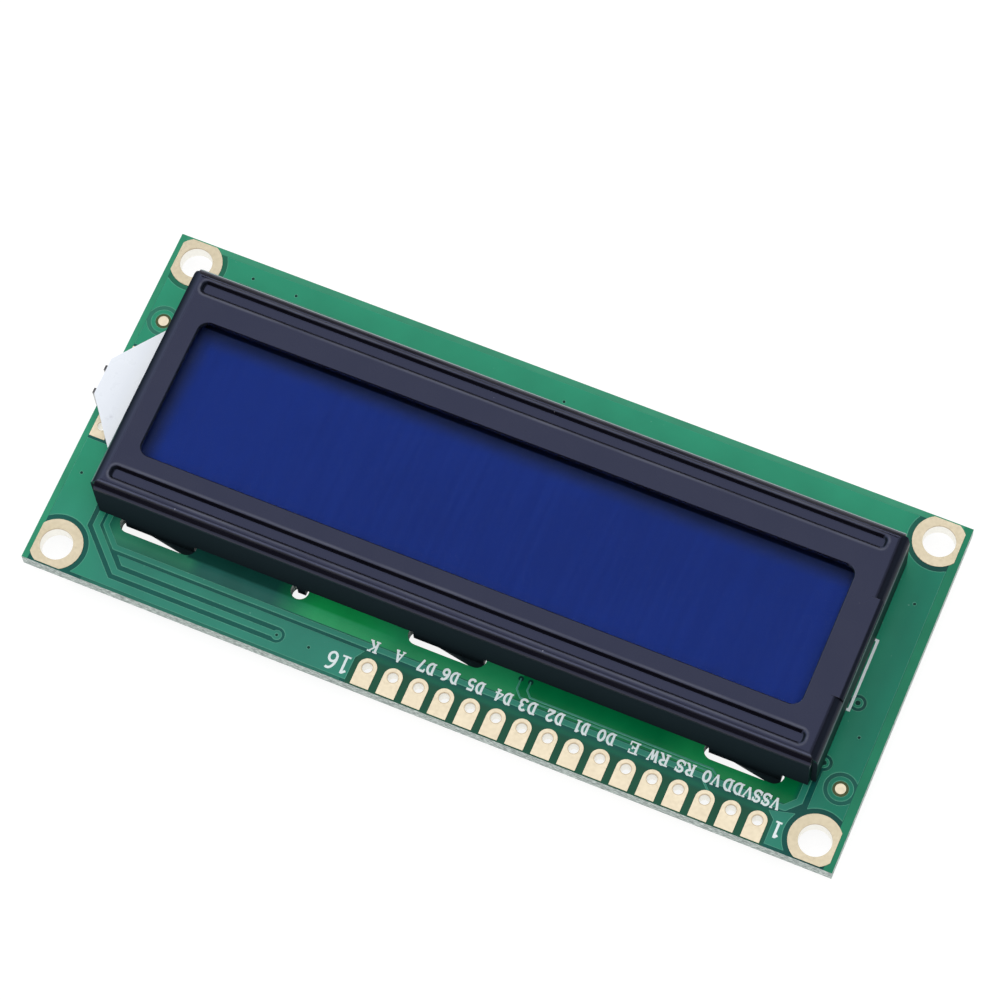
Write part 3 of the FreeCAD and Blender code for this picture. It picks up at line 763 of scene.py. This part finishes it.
def letterStrokes(letter):
    # strokes in a box of width 1 and height 1: True is a heavy stroke, serifs lie at head and foot
    serif = 0.05
    top = 1 - serif

    def head(start, end):
        return False, [(start, top), (end, top)]

    def foot(start, end):
        return False, [(start, serif), (end, serif)]

    stem = (True, [(0.22, 0), (0.22, 1)])
    strokes = {
        "V": [(True, [(0.14, top), (0.49, 0.04)]), (False, [(0.49, 0.04), (0.86, top)]),
              head(0.0, 0.32), head(0.68, 1.0)],
        "S": [(True, arcPoints((0.5, 0.735), (0.31, 0.215), 25, 270, 12)
               + arcPoints((0.5, 0.28), (0.34, 0.24), 90, -155, 12)),
              (False, [(0.86, 0.66), (0.86, 0.98)]), (False, [(0.12, 0.02), (0.12, 0.34)])],
        "D": [stem, (True, arcPoints((0.36, 0.5), (0.48, 0.45), 90, -90, 14)),
              head(0.0, 0.4), foot(0.0, 0.4)],
        "R": [stem, (True, arcPoints((0.48, 0.74), (0.30, 0.21), 90, -90, 10)),
              head(0.0, 0.5), (False, [(0.22, 0.52), (0.5, 0.52)]),
              (True, [(0.5, 0.5), (0.84, 0.04)]), foot(0.0, 0.42),
              foot(0.74, 1.02)],
        "W": [(True, [(0.12, top), (0.30, 0.04)]), (False, [(0.30, 0.04), (0.5, 0.86)]),
              (True, [(0.5, 0.86), (0.70, 0.04)]), (False, [(0.70, 0.04), (0.9, top)]),
              head(-0.02, 0.26), head(0.76, 1.02)],
        "E": [(True, [(0.24, 0), (0.24, 1)]), head(0.0, 0.9),
              (False, [(0.24, 0.5), (0.66, 0.5)]), foot(0.0, 0.94),
              (False, [(0.88, 0.68), (0.88, 1.0)]), (False, [(0.92, 0.0), (0.92, 0.34)]),
              (False, [(0.66, 0.36), (0.66, 0.64)])],
        "A": [(False, [(0.5, 1.0), (0.15, serif)]), (True, [(0.48, 0.98), (0.84, serif)]),
              (False, [(0.27, 0.34), (0.72, 0.34)]), foot(0.0, 0.34),
              foot(0.64, 1.0)],
        "K": [stem, (False, [(0.84, top), (0.26, 0.40)]), (True, [(0.42, 0.56), (0.84, serif)]),
              head(0.0, 0.44), foot(0.0, 0.44),
              head(0.64, 1.0), foot(0.66, 1.02)],
        "0": [(True, arcPoints((0.5, 0.5), (0.33, 0.43), turn, turn + 185, 14)) for turn in (0, 180)],
        "1": [(True, [(0.52, 0), (0.52, 1)]), (True, [(0.52, 0.97), (0.2, 0.80)]),
              foot(0.18, 0.86)],
        "2": [(True, arcPoints((0.48, 0.70), (0.33, 0.25), 165, -25, 12) + [(0.16, 0.10)]),
              (True, [(0.12, 0.08), (0.9, 0.08)]), (False, [(0.88, 0.05), (0.88, 0.30)])],
        "3": [(True, arcPoints((0.45, 0.74), (0.31, 0.21), 155, -90, 12)),
              (True, arcPoints((0.45, 0.28), (0.36, 0.24), 90, -155, 12))],
        "4": [(True, [(0.66, 0), (0.66, 1)]), (False, [(0.66, 0.98), (0.06, 0.32)]),
              (False, [(0.04, 0.32), (0.98, 0.32)]), foot(0.42, 0.9)],
        "5": [(True, [(0.2, 0.93), (0.84, 0.93)]), (False, [(0.2, 0.97), (0.2, 0.52)]),
              (True, arcPoints((0.46, 0.32), (0.36, 0.27), 135, -150, 14))],
        "6": [(True, arcPoints((0.5, 0.30), (0.32, 0.25), turn, turn + 185, 12)) for turn in (0, 180)]
             + [(True, arcPoints((0.66, 0.40), (0.48, 0.54), 70, 195, 12))],
        "7": [(True, [(0.08, 0.93), (0.92, 0.93)]), (True, [(0.86, 0.92), (0.42, 0.0)]),
              (False, [(0.1, 0.97), (0.1, 0.70)])],
    }
    return strokes[letter]


def wordShapes(v, word, left, right, base, tall, widths):
    shapes = []
    pitch = (right - left) / len(word)
    wide = pitch * v["letterShare"]
    for place, letter in enumerate(word):
        start = left + pitch * place + (pitch - wide) / 2
        for isHeavy, points in letterStrokes(letter):
            line = [(start + u * wide, base + w * tall) for u, w in points]
            shapes.append((strokeOutline(line, widths[0] if isHeavy else widths[1]), True))
    return shapes


def makePrint(v):
    shapes = []
    for word, left, right in v["names"]:
        shapes += wordShapes(v, word, left, right, v["nameFoot"], v["nameHeight"], v["strokes"])
    for word, left, right, base, tall in v["numbers"]:
        shapes += wordShapes(v, word, left, right, base, tall, v["numberStrokes"])
    shapes.append((strokeOutline(v["bracket"], v["bracketWidth"]), True))
    piece = layMesh("white_print", shapes, v["base"], v["height"], v["rim"], [plainFinish("whiteInk", v)])
    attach(piece, "root")


makePrint(ink)
print("white print laid")


# Gold plating on the pads, rings and test pads
gold = {
    "colour": (0.548, 0.482, 0.363),
    "second": (0.515, 0.448, 0.332),
    "ringColour": (0.462, 0.405, 0.300),  # the mounting rings are duller
    "ringSecond": (0.425, 0.370, 0.262),
    "barrel": (0.93, 0.91, 0.84),  # painted light: the walls down the drilled holes, pale as if lit from below
    "barrelRim": (0.50, 0.40, 0.27),
    "rimDepth": 0.10,
    "drillMark": (0.30, 0.22, 0.14),  # fine dark ring round each pin hole
    "drillShare": 0.75,
    "drillReach": 0.535,
    "drillWidth": 0.055,
    "firstPin": (-32.05, 15.71),
    "pinPitch": 2.54,
    "roughness": 0.36,
    "metallic": 1.0,
    "driftScale": 420,
    "grainScale": 3200,
    "bump": 0.25,
    "bumpDepth": 0.006,
}


def makeGoldFinish(name, v):
    # warm plating on the faces; down the holes a paler colour is painted as light from below
    material = plainFinish(name, v)
    tree = material.node_tree
    shader = tree.nodes["Principled BSDF"]
    x, y, z = axisOf(tree)
    inHole = mathOf(tree, "LESS_THAN", mathOf(tree, "ABSOLUTE", facingOf(tree)["Z"]), flatFrom)
    depth = timesOf(tree, z, -1.0)
    # painted light: the hole walls pale below a brownish band at the top, as if lit from below
    barrel = mixOf(tree, spanOf(tree, depth, v["rimDepth"], 2 * v["rimDepth"]), v["barrelRim"], v["barrel"])
    plain = shader.inputs["Base Color"].links[0].from_socket
    if v["drillMark"]:
        along = mathOf(tree, "SUBTRACT", x, (v["firstPin"][0] - v["pinPitch"] / 2) * mm)
        along = mathOf(tree, "FLOORED_MODULO", along, v["pinPitch"] * mm)
        reach = awayFrom(tree, along, y, (v["pinPitch"] / 2, v["firstPin"][1]))
        mark = timesOf(tree, ridgeOf(tree, reach, v["drillReach"], v["drillWidth"]), v["drillShare"])
        plain = mixOf(tree, mark, plain, v["drillMark"])
    feed(tree, shader, {"Base Color": mixOf(tree, inHole, plain, barrel)})
    return material


dress(makeGoldFinish("goldPads", gold), "header_pads", "lamp_pads", "lead_pads", "test_pads")
dulled = dict(gold, colour=gold["ringColour"], second=gold["ringSecond"], drillMark=None)
dress(makeGoldFinish("goldRings", dulled), "mounting_rings")
print("gold plated")


# Bezel: black paint with a fine orange peel, worn along its cut edges, a few dust specks, and painted
# highlights, reflections and shade on its folds, walls and bead edges
bezelPaint = {  # a span is where a ramp starts and where it ends
    "colour": (0.0062, 0.0058, 0.0105),
    "second": (0.0085, 0.0080, 0.0130),
    "driftScale": 300,
    "driftSpan": (0.35, 0.65),
    "sheen": (0.50, 0.57, 1.0),  # the gloss of the paint is bluish
    "roughness": 0.15,
    "roughSpread": (0.9, 1.15),
    "gloss": 0.46,
    "peelScale": 1500,
    "peelDepth": 0.006,
    "peelStrength": 0.35,
    "worn": (0.16, 0.15, 0.17),  # along sharp edges, where a rounded normal differs
    "wornRadius": 0.12,
    "wornSamples": 4,
    "wornPeel": 0.10,
    "wornSpan": (0.90, 0.76),
    "wornShare": 0.3,
    "dust": (0.40, 0.40, 0.44),
    "dustScale": 2600,
    "dustShift": (7, 2, 5),
    "dustSpan": (0.83, 0.86),
    "dustShare": 0.8,
    "wall": (0.0165, 0.0280, 0.0345),  # the upright walls and tabs are duller, coloured with a painted reflection of the green board
    "wallSide": (0.0090, 0.0340, 0.0300),
    "wallSpan": (5.20, 4.95),
    "wallRoughness": 0.45,
    "wallGloss": 0.0,
    "wallSideGloss": 0.08,
    "foldRight": (0.053, 0.061, 0.102),  # and so are the folds at both ends, coloured with painted light and shade, darker where the right fold turns steep
    "foldRightLow": (0.014, 0.020, 0.030),
    "foldLeft": (0.012, 0.015, 0.024),
    "foldGloss": 0.08,
    "sideSpan": (0.15, 0.55),  # how far the surface faces an end, and the right end
    "rightSpan": (0.04, 0.22),
    "steepSpan": (0.25, 0.65),
    "sideLine": (0.230, 0.275, 0.300),  # painted reflection: a light line under the fold at the left end
    "sideLineAt": 4.70,
    "sideLineWidth": 0.50,
    "cornerLine": (0.16, 0.30, 0.27),  # painted reflection: a light line on the fold at the right end, near the pins
    "cornerLineFacing": (0.72, 0.88),
    "cornerLineSpan": (3.0, 9.0),
    "cornerLinePast": 35.0,
    "rimLight": (0.34, 0.62, 0.58),  # painted reflection: a light line along the far fold
    "rimSpan": (-12.77, -12.90),
    "rimRise": (5.40, 5.55),
    "sheenLine": (0.080, 0.082, 0.092),  # painted highlight beside the beads and along the folds
    "sheenPeak": 0.26,
    "sheenWidth": 0.20,
    "sheenAbove": 5.4,
    "beadMiddle": (0.3, -1.15),
    "beadOffset": 10.05,
    "beadHalf": (33.9, 0.56),
    "beadCorner": 0.4,
    "foldLines": ((10.24, 0.20), (-12.50, 0.36)),  # where, and how wide
    "foldShare": 0.6,
    "streakScale": 1400,
    "streakStretch": (0.12, 1.0, 1.0),
    "streakSpan": (0.35, 0.65),
    "streakLeast": 0.35,
}


def beadDistance(tree, x, y, v):
    # how far outside the pressed outline of either bead, in metres
    offX = offFrom(tree, x, v["beadMiddle"][0])
    offY = offFrom(tree, offFrom(tree, y, v["beadMiddle"][1]), v["beadOffset"])
    past = []
    for off, half in zip((offX, offY), v["beadHalf"]):
        beyond = mathOf(tree, "SUBTRACT", off, (half - v["beadCorner"]) * mm)
        past.append(mathOf(tree, "MAXIMUM", beyond, 0.0))
    return mathOf(tree, "SUBTRACT", lengthOf(tree, *past), v["beadCorner"] * mm)


def paintedSheen(tree, x, y, z, v):
    # painted highlight round the bead lips and along the folds, broken up by streaks
    lip = ridgeOf(tree, beadDistance(tree, x, y, v), v["sheenPeak"], v["sheenWidth"])
    folds = mathOf(tree, "ADD", *[ridgeOf(tree, y, *line) for line in v["foldLines"]])
    upper = mathOf(tree, "GREATER_THAN", z, v["sheenAbove"] * mm)
    streak = noiseOf(tree, v["streakScale"], 4, v["streakStretch"])
    streak = rampOf(tree, streak, *v["streakSpan"], v["streakLeast"], 1.0)
    sheenShare = mathOf(tree, "MAXIMUM", lip, timesOf(tree, folds, v["foldShare"]))
    return timesOf(tree, timesOf(tree, sheenShare, upper), streak)


def makeBezelFinish(v):
    material, tree, shader = newMaterial("blackPaint")
    peel = noiseOf(tree, v["peelScale"], 4)
    drift = rampOf(tree, noiseOf(tree, v["driftScale"], 4), *v["driftSpan"])
    tint = mixOf(tree, drift, v["colour"], v["second"])
    plain = addNode(tree, "ShaderNodeNewGeometry").outputs["Normal"]
    bevel = addNode(tree, "ShaderNodeBevel", {"Radius": v["wornRadius"] * mm}, samples=v["wornSamples"])
    both = {0: bevel.outputs["Normal"], 1: plain}
    close = addNode(tree, "ShaderNodeVectorMath", both, operation="DOT_PRODUCT").outputs["Value"]
    edge = rampOf(tree, mathOf(tree, "ADD", close, timesOf(tree, peel, v["wornPeel"])), *v["wornSpan"])
    tint = mixOf(tree, timesOf(tree, edge, v["wornShare"]), tint, v["worn"])
    x, y, z = axisOf(tree)
    # painted highlight beside the beads and along the folds
    tint = mixOf(tree, paintedSheen(tree, x, y, z, v), tint, v["sheenLine"])
    dust = rampOf(tree, noiseOf(tree, v["dustScale"], 1, shift=v["dustShift"]), *v["dustSpan"])
    tint = mixOf(tree, timesOf(tree, dust, v["dustShare"]), tint, v["dust"])

    # painted light and shade on the folds at both ends, and a painted reflection of the board on the walls
    # under them
    endward = facingOf(tree)["X"]
    wall = spanOf(tree, z, *v["wallSpan"])
    side = mathOf(tree, "MAXIMUM", rampOf(tree, mathOf(tree, "ABSOLUTE", endward), *v["sideSpan"]),
                  rampOf(tree, endward, *v["rightSpan"]))
    toRight = mathOf(tree, "GREATER_THAN", endward, 0.0)
    steep = rampOf(tree, endward, *v["steepSpan"])
    rightFold = mixOf(tree, steep, v["foldRight"], v["foldRightLow"])
    tint = mixOf(tree, side, tint, mixOf(tree, toRight, v["foldLeft"], rightFold))
    # painted reflection lines on the end folds and along the far fold
    cornerLine = timesOf(tree, rampOf(tree, endward, *v["cornerLineFacing"]),
                         spanOf(tree, y, *v["cornerLineSpan"]))
    atEnd = mathOf(tree, "GREATER_THAN", x, v["cornerLinePast"] * mm)
    tint = mixOf(tree, timesOf(tree, cornerLine, atEnd), tint, v["cornerLine"])
    # painted reflection of the green board on the walls and tabs
    tint = mixOf(tree, wall, tint, mixOf(tree, side, v["wall"], v["wallSide"]))
    leftSide = timesOf(tree, side, mathOf(tree, "SUBTRACT", 1.0, toRight))
    sideLine = timesOf(tree, leftSide, ridgeOf(tree, z, v["sideLineAt"], v["sideLineWidth"]))
    tint = mixOf(tree, sideLine, tint, v["sideLine"])
    rim = timesOf(tree, spanOf(tree, y, *v["rimSpan"]), spanOf(tree, z, *v["rimRise"]))
    tint = mixOf(tree, rim, tint, v["rimLight"])

    wallGloss = rampOf(tree, side, 0.0, 1.0, v["wallGloss"], v["wallSideGloss"])
    upperGloss = timesOf(tree, rampOf(tree, side, 0.0, 1.0, v["gloss"], v["foldGloss"]),
                         mathOf(tree, "SUBTRACT", 1.0, steep))
    gloss = rampOf(tree, wall, 0.0, 1.0, upperGloss, wallGloss)
    fine = rampOf(tree, peel, *noiseSpan, *[v["roughness"] * s for s in v["roughSpread"]])
    rough = rampOf(tree, wall, 0.0, 1.0, fine, v["wallRoughness"])
    feed(tree, shader, {"Base Color": tint, "Specular IOR Level": gloss, "Specular Tint": rgba(v["sheen"]),
                        "Roughness": rough, "Normal": bumpOf(tree, peel, v["peelStrength"], v["peelDepth"])})
    return material


dress(makeBezelFinish(bezelPaint), "bezel")
print("bezel painted")


# Display cell
display = {
    "film": {"tint": (0.90, 0.93, 0.98), "roughness": 0.16, "share": 1.0},
    "glass": {"tint": (0.90, 0.96, 0.95), "roughness": 0.03, "share": 0.15},
    "clearBase": ((0.0, 0.0, 0.0), (0.004, 0.006, 0.01)),
    "clearGrain": 900,
    "index": 1.45,
    "blue": (0.0210, 0.0650, 0.465),
    "blueDeep": (0.0185, 0.0565, 0.410),
    "streakScale": 300,
    "streakStretch": (6.0, 0.25, 1.0),
    "driftScale": 60,
    "blueSpan": (0.4, 0.6),
    "shade": (0.047, 0.070, 0.270),  # painted shade beside the window's far and right edges, where the bezel shades the crystal
    "shadeFar": (-6.3, -7.7),
    "shadeRight": (31.4, 32.7),
    "rim": (0.004, 0.012, 0.070),  # and a darker painted shade along the far one, under the bezel's edge
    "rimSpan": (-8.10, -8.22),
    "roughness": 0.5,
    "gloss": 0.1,
}


def makeClearFinish(name, v, surface):
    # light passes straight through, and the surface adds its gloss
    material, tree, shader = newMaterial(name)
    clear = addNode(tree, "ShaderNodeBsdfTransparent", {"Color": rgba(surface["tint"])})
    grain = noiseOf(tree, v["clearGrain"], 2)
    roughen(tree, shader, grain, surface["roughness"], 0.9, 1.1)
    feed(tree, shader, {"Base Color": mixOf(tree, grain, *v["clearBase"])})
    facing = addNode(tree, "ShaderNodeFresnel", {"IOR": v["index"]}).outputs[0]
    shares = {"Fac": timesOf(tree, facing, surface["share"]), 1: clear.outputs[0], 2: shader.outputs[0]}
    both = addNode(tree, "ShaderNodeMixShader", shares)
    feed(tree, tree.nodes["Material Output"], {"Surface": both.outputs[0]})
    return material


def makeBlueFinish(v):
    material, tree, shader = newMaterial("blueCrystal")
    streak = timesOf(tree, noiseOf(tree, v["streakScale"], 3, v["streakStretch"]), 0.5)
    drift = timesOf(tree, noiseOf(tree, v["driftScale"], 2), 0.5)
    share = rampOf(tree, mathOf(tree, "ADD", streak, drift), *v["blueSpan"])
    tint = mixOf(tree, share, v["blueDeep"], v["blue"])
    x, y = axisOf(tree)[:2]
    # painted shade beside the window's far and right edges, darker along the far one
    dim = mathOf(tree, "MAXIMUM", spanOf(tree, y, *v["shadeFar"]), spanOf(tree, x, *v["shadeRight"]))
    tint = mixOf(tree, dim, tint, v["shade"])
    tint = mixOf(tree, spanOf(tree, y, *v["rimSpan"]), tint, v["rim"])
    feed(tree, shader, {"Base Color": tint, "Roughness": v["roughness"], "Specular IOR Level": v["gloss"]})
    return material


cellParts = {
    "sealGlue": {"on": ["cell_seal"], "colour": (0.05, 0.05, 0.06), "second": (0.03, 0.03, 0.04),
                 "roughness": 0.5},
    "rearPolariser": {"on": ["rear_polariser"], "colour": (0.03, 0.05, 0.22), "second": (0.02, 0.04, 0.18),
                      "roughness": 0.3},
}

dress(makeClearFinish("polarisingFilm", display, display["film"]), "front_polariser")
dress(makeClearFinish("cellGlass", display, display["glass"]), "front_glass", "rear_glass")
dress(makeBlueFinish(display), "liquid_crystal")
dressPlain(cellParts)
print("display cell dressed")


# Backlight: films, light guide, white frame, tail and its lamp
backlightParts = {
    "opticalFilm": {"on": ["prism_film", "diffuser_film"], "colour": (0.80, 0.82, 0.85),
                    "second": (0.74, 0.76, 0.80), "roughness": 0.35},
    "clearAcrylic": {"on": ["light_guide"], "colour": (0.85, 0.88, 0.90), "second": (0.80, 0.84, 0.87),
                     "roughness": 0.12},
    "whiteMoulding": {"on": ["lamp_frame"], "colour": (0.80, 0.80, 0.80), "second": (0.75, 0.75, 0.76),
                      "roughness": 0.45},
    "reflectorFilm": {"on": ["reflector_film"], "colour": (0.86, 0.88, 0.92), "second": (0.80, 0.82, 0.87),
                      "roughness": 0.4, "bump": 0.1},
    "zebraRubber": {"on": ["zebra_strip_near", "zebra_strip_far"], "colour": (0.55, 0.45, 0.42),
                    "second": (0.12, 0.11, 0.11), "roughness": 0.7, "driftScale": 4000},
    "lampResin": {"on": ["backlight_lamp"], "colour": (0.82, 0.78, 0.55), "second": (0.78, 0.72, 0.45),
                  "roughness": 0.3},
    "solder": {"on": ["lead_solder_near", "lead_solder_far"], "colour": (0.70, 0.70, 0.72),
               "second": (0.55, 0.55, 0.57), "roughness": 0.28, "metallic": 1.0},
}

dressPlain(backlightParts)

tail = {
    "colour": (0.872, 0.915, 0.990),
    "second": (0.850, 0.895, 0.975),
    "driftScale": 90,
    "driftSpan": (0.35, 0.65),
    "liftNearBezel": (0.925, 0.955, 0.995),  # painted light: lighter beside the bezel, making up for the shade it casts there
    "liftNearBezelSpan": (37.6, 36.0),
    # painted shade: a blotchy dark spot on the tail near the bezel
    "shadeSpot": (0.55, 0.56, 0.64),
    "shadeSpotPlace": (37.6, 2.9),
    "shadeSpotReach": (0.55, 0.1),
    "shadeSpotScale": 2500,
    "shadeSpotSpan": (0.45, 0.7),
    "shadeSpotShare": 0.5,
    "waveScale": 120,
    "bump": 0.3,
    "bumpDepth": 0.05,
    "grainScale": 700,
    "roughness": 0.30,
}


def makeTailFinish(v):
    material, tree, shader = newMaterial("tailFilm")
    x, y = axisOf(tree)[:2]
    drift = rampOf(tree, noiseOf(tree, v["driftScale"]), *v["driftSpan"])
    tint = mixOf(tree, drift, v["second"], v["colour"])
    # painted light beside the bezel
    tint = mixOf(tree, spanOf(tree, x, *v["liftNearBezelSpan"]), tint, v["liftNearBezel"])
    # painted shade: a blotchy dark spot near the bezel
    spot = spanOf(tree, awayFrom(tree, x, y, v["shadeSpotPlace"]), *v["shadeSpotReach"])
    blotch = rampOf(tree, noiseOf(tree, v["shadeSpotScale"]), *v["shadeSpotSpan"], 0.0, v["shadeSpotShare"])
    tint = mixOf(tree, timesOf(tree, spot, blotch), tint, v["shadeSpot"])
    roughen(tree, shader, noiseOf(tree, v["grainScale"]), v["roughness"], 0.8, 1.2)
    normal = bumpOf(tree, noiseOf(tree, v["waveScale"], 2), v["bump"], v["bumpDepth"])
    feed(tree, shader, {"Base Color": tint, "Normal": normal})
    return material


dress(makeTailFinish(tail), "tail_wrap")

lead = {
    "tip": (0.10, 0.10, 0.11),
    "shank": (0.62, 0.63, 0.62),
    "tipSpan": (0.75, 1.0),  # the cut end is dark above these levels
    "ragged": 0.2,
    "grainScale": 2500,
    "roughness": 0.4,
    "metallic": 0.6,
}


def makeLeadFinish(v):
    material, tree, shader = newMaterial("tinnedLead")
    grain = noiseOf(tree, v["grainScale"], 2)
    level = mathOf(tree, "ADD", axisOf(tree)["Z"], timesOf(tree, grain, v["ragged"] * mm))
    tint = mixOf(tree, spanOf(tree, level, *v["tipSpan"]), v["shank"], v["tip"])
    roughen(tree, shader, grain, v["roughness"], 0.8, 1.2)
    feed(tree, shader, {"Base Color": tint, "Metallic": v["metallic"]})
    return material


dress(makeLeadFinish(lead), "lamp_lead_near", "lamp_lead_far")
print("backlight dressed")


# Back of the board
backParts = {
    "siliconDie": {"on": ["chip_die_left", "chip_die_right"], "colour": (0.10, 0.10, 0.12),
                   "second": (0.07, 0.07, 0.09), "roughness": 0.2, "metallic": 0.5},
    "blackEpoxy": {"on": ["epoxy_blob_left", "epoxy_blob_right"], "colour": (0.008, 0.008, 0.009),
                   "second": (0.014, 0.014, 0.015), "roughness": 0.22, "bump": 0.3, "bumpDepth": 0.03,
                   "grainScale": 500},
    "resistorBody": {"on": ["resistor_%d" % n for n in range(1, 7)], "colour": (0.015, 0.015, 0.018),
                     "second": (0.03, 0.03, 0.035), "roughness": 0.4},
    "capacitorBody": {"on": ["capacitor_%d" % n for n in range(1, 4)], "colour": (0.36, 0.24, 0.14),
                      "second": (0.31, 0.20, 0.115), "roughness": 0.45},
    "chipEnds": {"on": ["chip_terminals"], "colour": (0.66, 0.66, 0.68), "second": (0.55, 0.55, 0.57),
                 "roughness": 0.3, "metallic": 1.0},
}

dressPlain(backParts)
print("back dressed")
